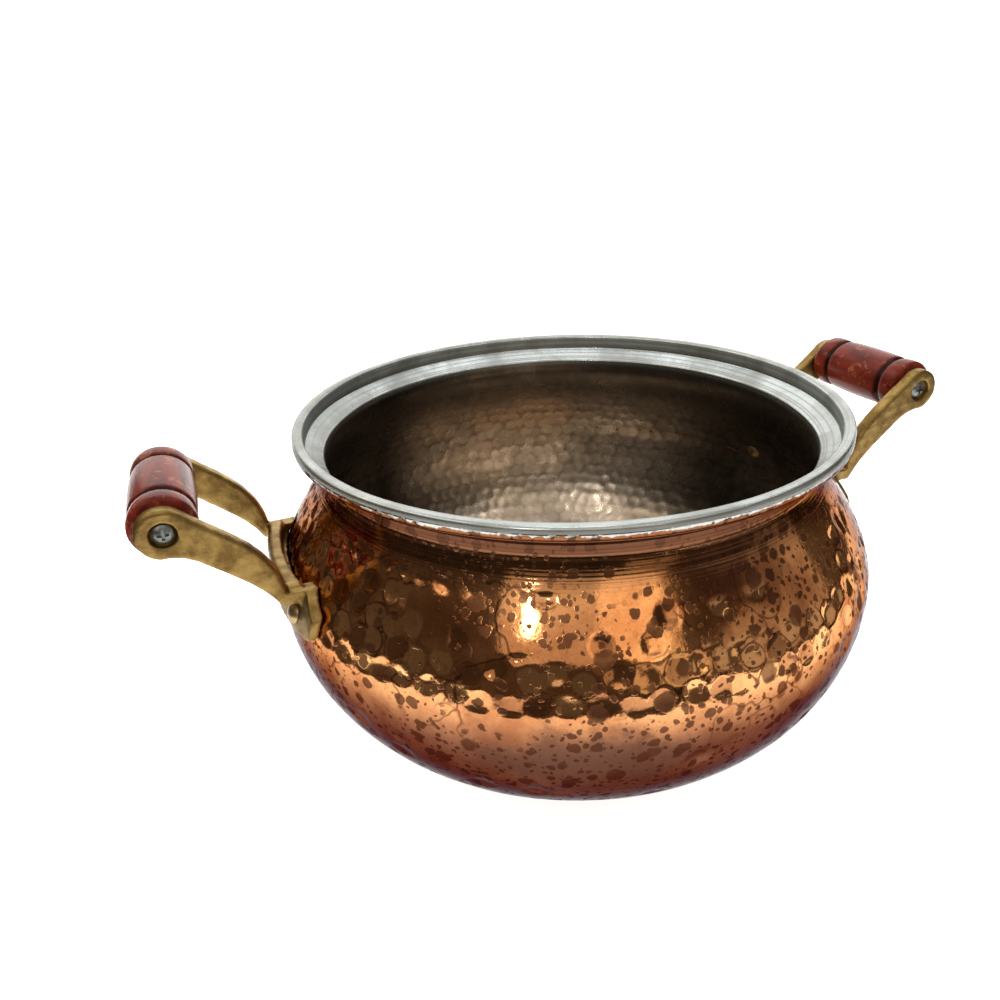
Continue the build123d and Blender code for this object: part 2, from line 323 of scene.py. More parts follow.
# %% Profile of the copper body
columns_round = 560
stretches = [(0, 24, 3.0), (24, 72, 1.9), (72, 117, 1.25), (117, 129, 0.5)]
wall = belly_and_shoulder(0)
outside = np.concatenate([
    spaced(wall[(wall[:, 1] >= low * mm) & (wall[:, 1] < high * mm)], step * mm)
    for low, high, step in stretches
])
lip_gap = 0.1 * mm
under_ledge = rounded(
    [
        (mouth_radius + both_walls, neck_level),
        (mouth_radius + both_walls, ledge_level - 0.6 * mm),
        (seat_radius + both_walls, seat_level - 0.4 * mm),
        (seat_radius + both_walls, band_level - lip_gap),
        (lip_radius, band_level - lip_gap),
        (lip_radius, tin_edge),
    ],
    [0.3 * mm, 1.2 * mm, 0.2 * mm, roll_radius - lip_gap],
    count=4,
)
under_base = spaced([(20 * mm, 0), (base_radius - 1 * mm, 0)], 15 * mm)
copper_line = np.concatenate([
    [(0, 0)],
    under_base,
    outside,
    under_ledge[1:],
    moved(spaced(lip_line, 2 * mm), -tin_skin_depth)[::-1][1:-1],
    spaced(belly_and_shoulder(copper_wall)[::-1], 10 * mm),
    [(base_radius * 0.5, copper_wall), (0, copper_wall)],
])
print("rows of the copper body", len(copper_line))

# %% [markdown]
# The copper is worked in zones. Rows of close blows run round the widest part, the left of the shoulder has
# scattered deep ones, and the rest is nearly smooth. The angle to_the_right is counted from the front. A
# blow's outline is shaken by a short wave, so no two dishes are the same circle. Its nearness, its chance
# and whether it was struck are kept on the mesh, so that colour can follow the dish and its rim.

# %% The copper's height field
front = math.radians(-114.94)
height = copper_line[:, 1]
first_wall_row = 1 + len(under_base)
on_outside = np.zeros(len(copper_line))
on_outside[first_wall_row: first_wall_row + len(outside)] = 1
along_grid, angle_grid = wall_grids(copper_line, columns_round)
level_grid = np.repeat(height[:, None], columns_round, axis=1)
to_the_right = np.degrees(np.angle(np.exp(1j * (angle_grid - front))))

blow_size, blow_depth, blow_depth_play = 9.6 * mm, 0.42, 0.40
apart, luck = blows(along_grid, angle_grid, blow_size, seed=11)
apart *= 1 + 0.3 * waves(along_grid, angle_grid, seed=17, longest=0.016, shortest=0.006)
in_rows = bump_between(level_grid, 79 * mm, 97 * mm, 3 * mm)
on_left = bump_between(to_the_right, -125, -22, 20) * bump_between(level_grid, 84 * mm, 116 * mm, 6 * mm)
elsewhere = bump_between(level_grid, 30 * mm, 112 * mm, 8 * mm)
odds = np.maximum.reduce([0.95 * in_rows, 0.85 * on_left, 0.14 * elsewhere])
blow_radius = 0.44 + 0.12 * luck[..., 1]
struck = luck[..., 0] < odds
marks = -(blow_depth + blow_depth_play * luck[..., 2]) * mm * dished(apart, blow_radius) * struck

fine_size, fine_depth, fine_radius = 6.5 * mm, 0.035 * mm, 0.7
fine_apart, fine_luck = blows(along_grid, angle_grid, fine_size, seed=12)
fine_zone = bump_between(level_grid, 8 * mm, 80 * mm, 8 * mm)
fine_marks = -fine_depth * dished(fine_apart, fine_radius) * fine_zone * (0.3 + 0.7 * fine_luck[..., 1])

uneven_depth, line_depth, line_pitch = 0.12 * mm, 0.08 * mm, 1.35 * mm
unevenness = uneven_depth * (waves(along_grid, angle_grid, seed=8) - 1)
fade = np.clip((height - 2 * mm) / (12 * mm), 0, 1) * np.clip((121 * mm - height) / (6 * mm), 0, 1)
neck_lines = 0.5 + 0.5 * np.cos(2 * np.pi * height / line_pitch)
neck_zone = bump_between(height, 118.5 * mm, 127 * mm, 0.6 * mm)
lift = (marks + fine_marks + unevenness) * fade[:, None] - line_depth * (neck_lines * neck_zone)[:, None]
lift *= on_outside[:, None]
copper_body = turned("copper_body", copper_line[:, 0], height, columns_round, lift)
nearness_kept = np.clip(apart / blow_radius / 2, 0, 1)
keep_marks(copper_body, "blow", nearness_kept, luck[..., 0] / np.maximum(odds, 0.01), struck)
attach(copper_body, "pot")
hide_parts("pot_shell")

# %% [markdown]
# ## The tinned inside
#
# The tin covers the inside, the ledge and the top of the lip. It could be a colour on the copper, but it has
# an edge of its own at the lip, so it is one thin closed sheet too. Its surface is the lip line and the wall
# moved in by both walls' thickness, and its back lies a fifth of a millimetre deeper, hidden against the
# copper. Every blow from outside raises a low, round bump inside.

# %% Profile of the tin
tin_columns = 540
tin_depth = tin_skin_depth * 0.8
inner_wall = belly_and_shoulder(both_walls)[::-1]
tin_back = np.concatenate([
    [(0, both_walls - tin_depth), (base_radius * 0.5, both_walls - tin_depth)],
    spaced(belly_and_shoulder(both_walls - tin_depth), 6 * mm)[:-1],
    moved(spaced(lip_line, 1.2 * mm), -tin_depth)[1:-1],
])
low_wall = 24 * mm
tin_face = np.concatenate([
    lip_line[::-1][:-1],
    spaced(inner_wall[inner_wall[:, 1] > low_wall], 1.45 * mm),
    spaced(inner_wall[inner_wall[:, 1] <= low_wall], 3 * mm),
    [(base_radius * 0.5, both_walls), (0, both_walls)],
])
tin_line = np.concatenate([tin_back, tin_face])
print("rows of the tin", len(tin_line))

# %% The tin's height field
knock_size, knock_radius = 6.4 * mm, 0.6
tin_grid, tin_angles = wall_grids(tin_line, tin_columns)
tin_apart, tin_luck = blows(tin_grid, tin_angles, knock_size, seed=23)
tin_rows = np.arange(len(tin_line))
past_lip = tin_rows > len(tin_back) + len(lip_line)
on_wall = (past_lip * bump_between(tin_line[:, 1], 8 * mm, 104 * mm, 10 * mm))[:, None]
on_face = (tin_rows > len(tin_back) + 2)[:, None]
tin_rise = (0.16 + 0.22 * tin_luck[..., 2]) * mm
tin_wave = 0.03 * mm * waves(tin_grid, tin_angles, seed=31, longest=0.06, shortest=0.01)
tin_lift = tin_rise * dished(tin_apart, knock_radius) * on_wall + tin_wave * on_face
tin_skin = turned("tin_skin", tin_line[:, 0], tin_line[:, 1], tin_columns, tin_lift)
keep_marks(
    tin_skin, "knock", np.clip(tin_apart / knock_radius / 2, 0, 1), np.broadcast_to(on_wall, tin_apart.shape)
)
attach(tin_skin, "pot")
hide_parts("tin_lining")

# %% [markdown]
# ## Cast brackets
#
# A sand casting has no crisp edge. A bevel would leave the broad faces dead flat, so a copy of the exact CAD
# casting is turned into small even cells with a voxel remesh, smoothed until the edges look cast and filed,
# and then made slightly lumpy.

# %% Soft copies of the castings
weld_distance = 0.002 * mm
cast_cell = 0.62 * mm
cast_passes = 6
lump_size = 6 * mm
lump_depth = 0.07 * mm
lump_waves, lump_peak = 12, 5


def lumps(points, seed):
    """A height for each point: sines along twelve random directions, each about a lump's size long."""
    chance = np.random.default_rng(seed)
    total = np.zeros(len(points))
    for _ in range(lump_waves):
        way = chance.normal(size=3)
        way *= 2 * np.pi / lump_size * chance.uniform(0.6, 1.5) / np.linalg.norm(way)
        total += np.sin(points @ way + chance.uniform(0, 2 * np.pi))
    return lump_depth * total / lump_peak


def point_values(mesh, field):
    """A mesh's points or normals as an array of rows."""
    values = np.empty(len(mesh.vertices) * 3)
    mesh.vertices.foreach_get(field, values)
    return values.reshape(-1, 3)


def cast_copy(name, node, seed):
    """A copy of a CAD node remeshed in cells, smoothed and given lumps, nearly all of them inwards."""
    copy = bpy.data.objects.new(name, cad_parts[node].data.copy())
    bpy.context.scene.collection.objects.link(copy)
    copy.modifiers.new("weld", "WELD").merge_threshold = weld_distance
    remesh = copy.modifiers.new("cells", "REMESH")
    remesh.mode = "VOXEL"
    remesh.voxel_size = cast_cell
    smooth = copy.modifiers.new("smooth", "SMOOTH")
    smooth.factor = 0.5
    smooth.iterations = cast_passes
    made = bpy.data.meshes.new_from_object(copy.evaluated_get(bpy.context.evaluated_depsgraph_get()))
    copy.modifiers.clear()
    copy.data = made
    made.name = name
    made.materials.clear()
    points = point_values(made, "co")
    points += point_values(made, "normal") * (lumps(points, seed) - lump_depth)[:, None]
    made.vertices.foreach_set("co", points.astype(np.float32).ravel())
    made.polygons.foreach_set("use_smooth", np.ones(len(made.polygons), dtype=bool))
    made.update()
    print(name, "points", len(points), "faces", len(made.polygons))
    return copy


brackets = []
for hand, seed in (("left", 41), ("right", 42)):
    bracket = cast_copy(hand + "_casting", hand + "_handle_bracket", seed)
    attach(bracket, "pot")
    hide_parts(hand + "_handle_bracket")
    brackets.append(bracket)

# %% [markdown]
# ## Turned grips
#
# Each grip is a spindle: a bead at each end, a groove, and a slightly barrelled middle. Hands have worn it
# uneven, which needs an even mesh, so it is turned anew. The profile is worked out along the spindle's own
# axis, and the turned surface is then laid along Y at the eyes' centres.

# %% Profile of the grips
grip_half = 27.6 * mm
grip_radius = 12.3 * mm
grip_rise = 0.5 * mm
bead_length = 8.5 * mm
bead_rise = 0.35 * mm
bead_step = 0.1 * mm
groove_width = 2.8 * mm
groove_depth = 1.7 * mm
end_rounding = 1.8 * mm
end_hole = 5 * mm
eye_reach = 172.4 * mm
eye_level = 132.2 * mm
grip_columns = 160
groove_middle = grip_half - bead_length - groove_width / 2


def grip_radius_at(x):
    """The spindle's radius at a distance from its middle: barrel, groove dip, bead, rounded end.

    The barrel and the bead are parabolas, the dip is a bell curve, and the end is a quarter of a circle.
    """
    x = np.abs(x)
    body = grip_radius + grip_rise * (1 - np.clip(x / groove_middle, 0, 1) ** 2)
    dip = groove_depth * np.exp(-(((x - groove_middle) / (0.42 * groove_width)) ** 2))
    bead_middle = grip_half - bead_length / 2
    bead = bead_rise * np.clip(1 - ((x - bead_middle) / (bead_length / 2)) ** 2, 0, 1)
    end = np.clip((x - (grip_half - end_rounding)) / end_rounding, 0, 1)
    past_groove = np.where(x > groove_middle, bead - bead_step, 0)
    return body + past_groove - dip - end_rounding * (1 - np.sqrt(1 - end**2))


quarter = end_rounding * (1 - np.cos(np.linspace(0, np.pi / 2, 8)))
straight_half = grip_half - 2.1 * mm
stations = np.concatenate([
    [-grip_half, -grip_half],
    -grip_half + quarter,
    np.linspace(-straight_half, straight_half, 130),
    grip_half - quarter[::-1],
    [grip_half, grip_half],
])
spindle = grip_radius_at(stations)
spindle[0] = spindle[-1] = 0
spindle[1] = spindle[-2] = end_hole
spindle[2] = spindle[-3] = grip_radius - end_rounding
print("stations along a grip", len(stations))

# %% Both spindles
wear_depth = 0.05 * mm
around_grip = 2 * np.pi * np.arange(grip_columns) / grip_columns
station_grid, grip_angles = np.meshgrid(stations, around_grip, indexing="ij")
grips = []
for hand, side, seed in (("left", -1, 51), ("right", 1, 52)):
    wear = -wear_depth * (1 + waves(station_grid, grip_angles, seed, longest=0.03, shortest=0.004))
    wear[:3] = wear[-3:] = 0
    spindle_object = turned(hand + "_spindle", spindle, stations, grip_columns, wear)
    lay_along_y = Matrix.Translation((side * eye_reach, 0, eye_level)) @ Matrix.Rotation(-math.pi / 2, 4, "X")
    spindle_object.data.transform(lay_along_y)
    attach(spindle_object, hand + "_grip_roll")
    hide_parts(hand + "_grip")
    grips.append(spindle_object)

# %% [markdown]
# ## Materials
#
# Every finish is a small node recipe on Object coordinates, which are metres here, so a noise scale of 100
# makes blotches of about a centimetre. An image could be painted on instead, but nodes stay sharp at any
# distance and need no file. A recipe starts from a ground colour and lays one tint after another over it.


# %% Nodes and sums
class Nodes:
    """A material's node tree, with short calls that make nodes and link them."""

    def __init__(self, name):
        self.material = bpy.data.materials.new(name)
        self.material.use_nodes = True
        self.tree = self.material.node_tree
        self.shader = self.tree.nodes["Principled BSDF"]
        self.place = self.tree.nodes.new("ShaderNodeTexCoord").outputs["Object"]

    def feed(self, socket, value):
        """Link a socket, or set a number, a vector or a colour of three numbers on it."""
        if isinstance(value, bpy.types.NodeSocket):
            self.tree.links.new(value, socket)
        elif socket.type == "RGBA":
            socket.default_value = (*value, 1)
        else:
            socket.default_value = value

    def node(self, kind, **inputs):
        """A new node of a kind, with its inputs fed by name. An underscore stands for a space."""
        made = self.tree.nodes.new("ShaderNode" + kind)
        for name, value in inputs.items():
            self.feed(made.inputs[name.replace("_", " ")], value)
        return made

    def finish(self, **inputs):
        """Feed the shader's own inputs by name."""
        for name, value in inputs.items():
            self.feed(self.shader.inputs[name.replace("_", " ")], value)

    def put_on(self, *things):
        """Give the material to pieces."""
        for thing in things:
            thing.data.materials.clear()
            thing.data.materials.append(self.material)
        print("material", self.material.name, "on", len(things), "pieces")

    def math(self, operation, first, second=0.0):
        """One sum on two numbers, or on the first one alone."""
        node = self.node("Math")
        node.operation = operation
        self.feed(node.inputs[0], first)
        self.feed(node.inputs[1], second)
        return node.outputs[0]

    def times(self, *values):
        """The product of all values."""
        total = values[0]
        for value in values[1:]:
            total = self.math("MULTIPLY", total, value)
        return total

    def most(self, *values):
        """The largest of all values."""
        largest = values[0]
        for value in values[1:]:
            largest = self.math("MAXIMUM", largest, value)
        return largest

    def vector_math(self, operation, *values):
        """One sum on vectors, which gives a vector, or a number for LENGTH."""
        node = self.node("VectorMath")
        node.operation = operation
        for socket, value in zip(node.inputs, values):
            self.feed(socket, value)
        return node.outputs["Value" if operation == "LENGTH" else "Vector"]

    def parts(self, vector):
        """The X, Y and Z of a vector."""
        return self.node("SeparateXYZ", Vector=vector).outputs

    def axis(self, name):
        return self.parts(self.place)[name]


print("calls for nodes and sums:", ", ".join(name for name in vars(Nodes) if name[0] != "_"))

# %% [markdown]
# Drawn on plain Object coordinates, round spots would be cuts through balls at any depth, so spots get the
# unrolled wall. Lathe lines need radius and height alone, and grown edges need coordinates pushed about.


# %% Places
class Places(Nodes):
    """Coordinates on which noises and cells are drawn, and the marks kept on a mesh."""

    def stretched(self, scale):
        """Object coordinates stretched by a scale for each axis."""
        return self.node("Mapping", Vector=self.place, Scale=scale).outputs["Vector"]

    def rings(self, scale):
        """Coordinates that hold only the radius and the height, so that a noise on them makes rings."""
        place = self.parts(self.place)
        flat = self.node("CombineXYZ", X=place["X"], Y=place["Y"]).outputs[0]
        radius = self.times(self.vector_math("LENGTH", flat), scale)
        return self.node("CombineXYZ", X=radius, Y=self.times(place["Z"], scale)).outputs[0]

    def warped(self, scale, amount):
        """Object coordinates pushed about by a noise, so that what is drawn on them looks grown."""
        noise = self.node("TexNoise", Vector=self.place, Scale=scale, Detail=3)
        return self.vector_math("MULTIPLY_ADD", noise.outputs["Color"], (amount,) * 3, self.place)

    def unrolled(self, where, centre_level, reach):
        """The surface laid flat: the angle round the axis and the height angle seen from a centre, in metres.

        Cells drawn on these two values meet the surface squarely, so every spot in them shows. The seam lies
        at -X, under the left bracket.
        """
        place = self.parts(where)
        round_angle = self.math("ARCTAN2", place["Y"], place["X"])
        square = self.math("ADD", self.times(place["X"], place["X"]), self.times(place["Y"], place["Y"]))
        rise = self.math("SUBTRACT", place["Z"], centre_level)
        height_angle = self.math("ARCTAN2", rise, self.math("SQRT", square))
        flat = self.node("CombineXYZ", X=self.times(round_angle, reach), Y=self.times(height_angle, reach))
        return flat.outputs[0]

    def marks(self, name):
        """The numbers kept on the mesh under a name, in the order in which they were stored."""
        node = self.node("Attribute")
        node.attribute_name = name
        return self.node("SeparateColor", Color=node.outputs["Color"]).outputs[:3]


print("calls for places:", ", ".join(name for name in vars(Places) if name[0] != "_"))

# %% [markdown]
# A share says where a tint lies. It is a smooth step on a height, a noise, the distance to the nearest
# cell's middle or edge, or the distance to a place.


# %% Patterns and colours
class Recipe(Places):
    """Shares between 0 and 1, and the colours and bumps that follow them."""

    def step(self, value, low, high, out_low=0.0, out_high=1.0):
        """A smooth change from out_low to out_high as value goes from low to high."""
        node = self.node("MapRange", Value=value)
        node.interpolation_type = "SMOOTHSTEP"
        for name, number in zip(("From Min", "From Max", "To Min", "To Max"), (low, high, out_low, out_high)):
            node.inputs[name].default_value = number
        return node.outputs["Result"]

    def band(self, value, low, full_from, full_to, high):
        """1 from full_from to full_to, and 0 below low and above high."""
        return self.times(self.step(value, low, full_from), self.step(value, full_to, high, 1.0, 0.0))

    def noise(self, scale, detail=4.0, roughness=0.55, where=None, distortion=0.0):
        """Noise between 0 and 1."""
        where = where or self.place
        settings = dict(Scale=scale, Detail=detail, Roughness=roughness, Distortion=distortion)
        return self.node("TexNoise", Vector=where, **settings).outputs["Fac"]

    def cracks(self, scale, where, full, none):
        """1 on the edges between cells, up to the distance full, and 0 from the distance none on."""
        node = self.node("TexVoronoi", Scale=scale, Randomness=1.0, Vector=where)
        node.feature = "DISTANCE_TO_EDGE"
        return self.step(node.outputs["Distance"], full, none, 1.0, 0.0)

    def specks(self, where, scale, share, smallest, largest):
        """Round spots: in a share of the cells one spot, with a radius between two parts of the cell."""
        node = self.node("TexVoronoi", Scale=scale, Vector=where)
        node.voronoi_dimensions = "2D"
        chance = self.node("SeparateColor", Color=node.outputs["Color"]).outputs
        there = self.math("LESS_THAN", chance["Red"], share)
        size = self.step(chance["Green"], 0.0, 1.0, smallest, largest)
        from_edge = self.math("SUBTRACT", node.outputs["Distance"], size)
        return self.times(there, self.step(from_edge, -0.05, 0.02, 1.0, 0.0))

    def near(self, centre, reach, squeeze=1):
        """1 at a place and 0 from reach on, with a ragged edge. squeeze makes the patch less high."""
        shifted = self.vector_math("SUBTRACT", self.place, centre)
        length = self.vector_math("LENGTH", self.vector_math("MULTIPLY", shifted, (1, 1, squeeze)))
        rag = self.times(self.noise(60, detail=6, roughness=0.62), 1.1 * reach)
        return self.step(self.math("ADD", length, rag), reach * 0.9, reach * 1.35, 1.0, 0.0)

    def mix(self, share, first, second):
        """Two colours mixed by a share between 0 and 1."""
        node = self.node("Mix")
        node.data_type = "RGBA"
        self.feed(node.inputs["Factor"], share)
        for name, value in (("A", first), ("B", second)):
            self.feed([s for s in node.inputs if s.name == name and s.type == "RGBA"][0], value)
        return [s for s in node.outputs if s.type == "RGBA"][0]

    def over(self, ground, share, tint, strength=None):
        """A tint laid over a ground by a share, which a strength can weaken."""
        return self.mix(share if strength is None else self.times(share, strength), ground, tint)

    def bump(self, height, distance, strength=1.0, below=None):
        """A normal that follows a height, on top of the normal below."""
        node = self.node("Bump", Distance=distance, Strength=strength, Height=height)
        if below is not None:
            self.feed(node.inputs["Normal"], below)
        return node.outputs["Normal"]


print("calls for patterns:", ", ".join(name for name in vars(Recipe) if name[0] != "_"))

# %% [markdown]
# ### Copper
#
# Copper that has been cooked on: the metal is a warm mirror under a thin brown film. The lower part is paler
# and duller, and its colour is also darkened as painted shade for the shadowed floor that it mirrors, most
# of all at the foot. A struck dish gets a painted highlight or painted shade by the chance kept with its
# blow, as if it caught a light or mirrored the dark room, and its rim is dark: nearness is d / 2R, so the
# rim lies at 0.5.

# %% Film, dishes and rims
copper = Recipe("hammered_copper")
level = copper.axis("Z")
low_share = copper.step(level, 0.058, 0.088, 1.0, 0.0)
film = copper.noise(32, detail=7, roughness=0.62)
bright = copper.mix(copper.step(film, 0.36, 0.66), (0.90, 0.42, 0.17), (0.52, 0.20, 0.075))
# The low copper is paler and duller, and darker as painted shade for the shadowed floor it mirrors.
low_tone_and_painted_shade = copper.mix(copper.step(film, 0.34, 0.66), (0.21, 0.089, 0.053), (0.135, 0.053, 0.031))
colour = copper.mix(low_share, bright, low_tone_and_painted_shade)
# Painted shade: the copper darkens towards the foot, standing in for the shadowed floor it mirrors.
base_painted_shade = copper.step(level, 0.004, 0.040, 0.75, 0.0)
colour = copper.over(colour, base_painted_shade, (0.060, 0.018, 0.011))
nearness, chance, there = copper.marks("blow")
worked = copper.times(there, copper.step(level, 0.074, 0.082))
dish = copper.times(worked, copper.step(nearness, 0.40, 0.50, 1.0, 0.0))
# Painted highlight on some dishes and painted shade on others, as if each facet mirrored a light or the dark
# room.
dish_painted_highlight = copper.times(dish, copper.step(chance, 0.62, 0.70))
dish_painted_shade = copper.times(dish, copper.step(chance, 0.34, 0.42, 1.0, 0.0))
colour = copper.over(colour, dish_painted_highlight, (0.98, 0.52, 0.22), 0.6)
colour = copper.over(colour, dish_painted_shade, (0.13, 0.045, 0.022), 0.5)
rim_share = copper.step(film, 0.38, 0.56, 0.85, 0.15)
rim = copper.times(copper.band(nearness, 0.47, 0.51, 0.53, 0.60), worked, rim_share)
colour = copper.over(colour, rim, (0.085, 0.030, 0.016))
print("copper film, dishes and rims")

# %% [markdown]
# Over that come brown patches, a dull cloud low on the front, round spots of dark oxide in three sizes, and
# fine dark cracks that wander between them. The spots are drawn on the unrolled wall.

# %% Patches, spots and cracks
patch = copper.most(
    copper.near((0.0054, -0.1127, 0.119), 0.032, 1.7),
    copper.times(copper.near((-0.0946, -0.0618, 0.116), 0.050, 1.2), 0.35),
    copper.near((0.060, 0.105, 0.105), 0.045, 1.4),
    copper.times(
        copper.step(copper.noise(13, detail=7, roughness=0.64, distortion=0.4), 0.55, 0.64),
        copper.step(level, 0.05, 0.09, 0.2, 0.6),
    ),
)
colour = copper.over(colour, patch, (0.105, 0.032, 0.016), 0.86)
cloud = copper.most(
    copper.near((-0.0495, -0.1180, 0.057), 0.056, 2.2), copper.near((0.090, 0.095, 0.050), 0.040, 2.2)
)
colour = copper.over(colour, cloud, (0.11, 0.052, 0.035), 0.78)
grown = copper.unrolled(copper.warped(240, 0.0035), 0.07, 0.125)
crowd = copper.step(copper.noise(24, detail=3), 0.34, 0.50)
spots = copper.most(
    copper.times(copper.specks(grown, 66, 0.60, 0.09, 0.25), 0.9),
    copper.specks(grown, 135, 0.60, 0.12, 0.33),
    copper.times(copper.specks(grown, 300, 0.75, 0.12, 0.34), crowd),
)
colour = copper.over(colour, spots, (0.060, 0.021, 0.012), 0.80)
crack = copper.times(
    copper.cracks(21, copper.warped(30, 0.05), 0.002, 0.016),
    copper.step(copper.noise(18, detail=2), 0.48, 0.58),
    copper.step(level, 0.05, 0.08, 0.2, 1.0),
)
colour = copper.over(colour, crack, (0.10, 0.032, 0.016), 0.75)
speckle = copper.step(copper.noise(900, detail=2), 0.56, 0.72, 0.0, 0.35)
colour = copper.over(colour, speckle, (0.16, 0.055, 0.028))
print("copper patches, spots and cracks")

# %% [markdown]
# The neck is brown between its lathe lines, a dark band under the lip is painted shade, and at the lip's edge
# the tin has run over the copper in a ragged line. Oxide is rougher than bare metal.

# %% Neck, lip and gloss
neck_brown = copper.times(copper.step(level, 0.112, 0.122), copper.step(film, 0.3, 0.6, 0.92, 0.7))
lathe = copper.step(copper.noise(1.0, detail=2, where=copper.rings(1100)), 0.46, 0.56)
colour = copper.over(colour, neck_brown, copper.mix(lathe, (0.040, 0.015, 0.008), (0.27, 0.12, 0.062)))
# Painted shade: a dark band in the groove under the rolled lip.
colour = copper.over(colour, copper.band(level, 0.1255, 0.1285, 0.1365, 0.138), (0.085, 0.034, 0.02), 0.85)
rag = copper.times(copper.noise(260, detail=5, roughness=0.65), 0.0042)
colour = copper.over(colour, copper.step(copper.math("ADD", level, rag), 0.1424, 0.1428), (0.50, 0.51, 0.50))
oxide = copper.most(spots, copper.times(cloud, 0.7), copper.times(patch, 0.5))
plain = copper.mix(low_share, (0.09,) * 3, (0.20,) * 3)
fine = copper.bump(copper.noise(300, detail=4), 0.00005)
copper.finish(
    Base_Color=colour,
    Metallic=1.0,
    Specular_Tint=(0.34, 0.33, 0.37),
    Roughness=copper.mix(oxide, plain, (0.36,) * 3),
    Normal=copper.bump(oxide, 0.00004, below=fine),
)
copper.put_on(copper_body)

# %% [markdown]
# ### Tin
#
# Wiped tin is bright where a lid and a cloth rub it, on the ledge and the lip, and goes brown in the pot.
# Height decides which: above the mouth's edge it is pale, below it is dark. Lines turned on the lathe run
# round it, so the fine noise reads only radius and height. The dark tin is worn to a warm brown on the
# base and darker between the bumps. Painted shade makes it nearly black under the ledge and on the sides
# that face the handles, a painted reflection puts a bright peach patch on the far wall, and painted shade
# darkens the lip and ledge on the left. The upright face above the ledge is never rubbed, so it is rough.

# %% Worn tin
tin = Recipe("worn_tin")
level = tin.axis("Z")
round_lines = tin.noise(1.0, detail=3, where=tin.rings(2600))
smears = tin.noise(55, detail=5, roughness=0.6)
pale = tin.mix(tin.step(smears, 0.38, 0.66), (0.43, 0.465, 0.46), (0.29, 0.31, 0.30))
# Painted shade: the lip and ledge are darker on their left side.
pale = tin.over(pale, tin.near((-0.107, 0.050, 0.142), 0.095), (0.17, 0.185, 0.175), 0.65)
pale = tin.over(pale, tin.step(round_lines, 0.55, 0.75, 0.0, 0.35), (0.22, 0.23, 0.23))
bands = tin.step(tin.noise(1.0, detail=2, where=tin.rings(620)), 0.46, 0.58, 0.0, 0.6)
pale = tin.over(pale, bands, (0.20, 0.19, 0.155))
dark = tin.mix(tin.step(smears, 0.38, 0.64), (0.95, 0.81, 0.65), (0.58, 0.48, 0.38))
# Painted shade: the inside wall darkens to nearly black towards the top, under the ledge.
dark = tin.over(dark, tin.step(level, 0.092, 0.118), (0.060, 0.047, 0.036), 0.85)
worn = tin.times(tin.step(level, 0.012, 0.035, 1.0, 0.0), tin.step(smears, 0.40, 0.60))
dark = tin.over(dark, worn, (0.46, 0.35, 0.25))
# Painted reflection: a bright peach patch on the far inner wall.
dark = tin.over(dark, tin.near((0.033, 0.1236, 0.0924), 0.060, 3.0), (0.98, 0.74, 0.52), 0.8)
nearness, on_bumps, _ = tin.marks("knock")
between = tin.times(on_bumps, tin.step(nearness, 0.34, 0.50))
dark = tin.over(dark, between, (0.045, 0.034, 0.026), 0.36)
dark = tin.over(dark, tin.step(level, 0.046, 0.064, 0.58, 0.0), (0.24, 0.185, 0.14))
# Painted shade: the inside walls darken towards the two sides that face the handles.
across = tin.math("ABSOLUTE", tin.math("SUBTRACT", tin.axis("X"), 0.030))
painted_side_shade = tin.times(tin.step(across, 0.058, 0.094), tin.step(smears, 0.3, 0.7, 0.94, 0.80))
dark = tin.over(dark, painted_side_shade, (0.030, 0.022, 0.016))
upright = tin.times(tin.band(level, 0.1372, 0.1380, 0.1424, 0.1434), 0.62)
tin.finish(
    Base_Color=tin.mix(tin.step(level, 0.1285, 0.1305, 1.0, 0.0), pale, dark),
    Metallic=0.9,
    Roughness=tin.most(tin.step(smears, 0.3, 0.7, 0.22, 0.34), upright),
    Normal=tin.bump(tin.noise(300, detail=3), 0.00005, below=tin.bump(round_lines, 0.00003)),
)
tin.put_on(tin_skin)

# %% [markdown]
# ### Brass
#
# The castings are a dull gold. Skin left from the mould is darker and rougher than the rubbed places.

# %% Cast brass
brass = Recipe("cast_brass")
clouds = brass.noise(120, detail=6, roughness=0.65)
grit = brass.noise(900, detail=3)
gold = brass.mix(brass.step(clouds, 0.36, 0.66), (0.31, 0.203, 0.066), (0.175, 0.106, 0.033))
gold = brass.over(gold, brass.step(grit, 0.60, 0.75, 0.0, 0.5), (0.13, 0.075, 0.028))
mould_skin = brass.bump(brass.noise(240, detail=5, roughness=0.6), 0.00025)
brass.finish(
    Base_Color=gold,
    Metallic=1.0,
    Roughness=brass.step(clouds, 0.3, 0.7, 0.34, 0.52),
    Normal=brass.bump(grit, 0.00006, below=mould_skin),
)
brass.put_on(*brackets)

# %% [markdown]
# ### Lacquered wood
#
# Dark red lacquer under a clear gloss. It has worn through to orange in flakes, and it is painted nearly
# black along the grooves. Its grain is a noise stretched along the grip.

# %% Red lacquer
lacquer = Recipe("red_lacquer")
grain = lacquer.noise(1.0, detail=5, roughness=0.6, where=lacquer.stretched((190, 45, 190)))
flakes = lacquer.step(lacquer.noise(170, detail=6, roughness=0.68, distortion=0.5), 0.56, 0.64)
red = lacquer.mix(lacquer.step(grain, 0.35, 0.68), (0.21, 0.028, 0.013), (0.095, 0.012, 0.008))
red = lacquer.over(red, flakes, (0.36, 0.115, 0.055), 0.75)
from_middle = lacquer.math("ABSOLUTE", lacquer.axis("Y"))
from_groove = lacquer.math("ABSOLUTE", lacquer.math("SUBTRACT", from_middle, groove_middle))
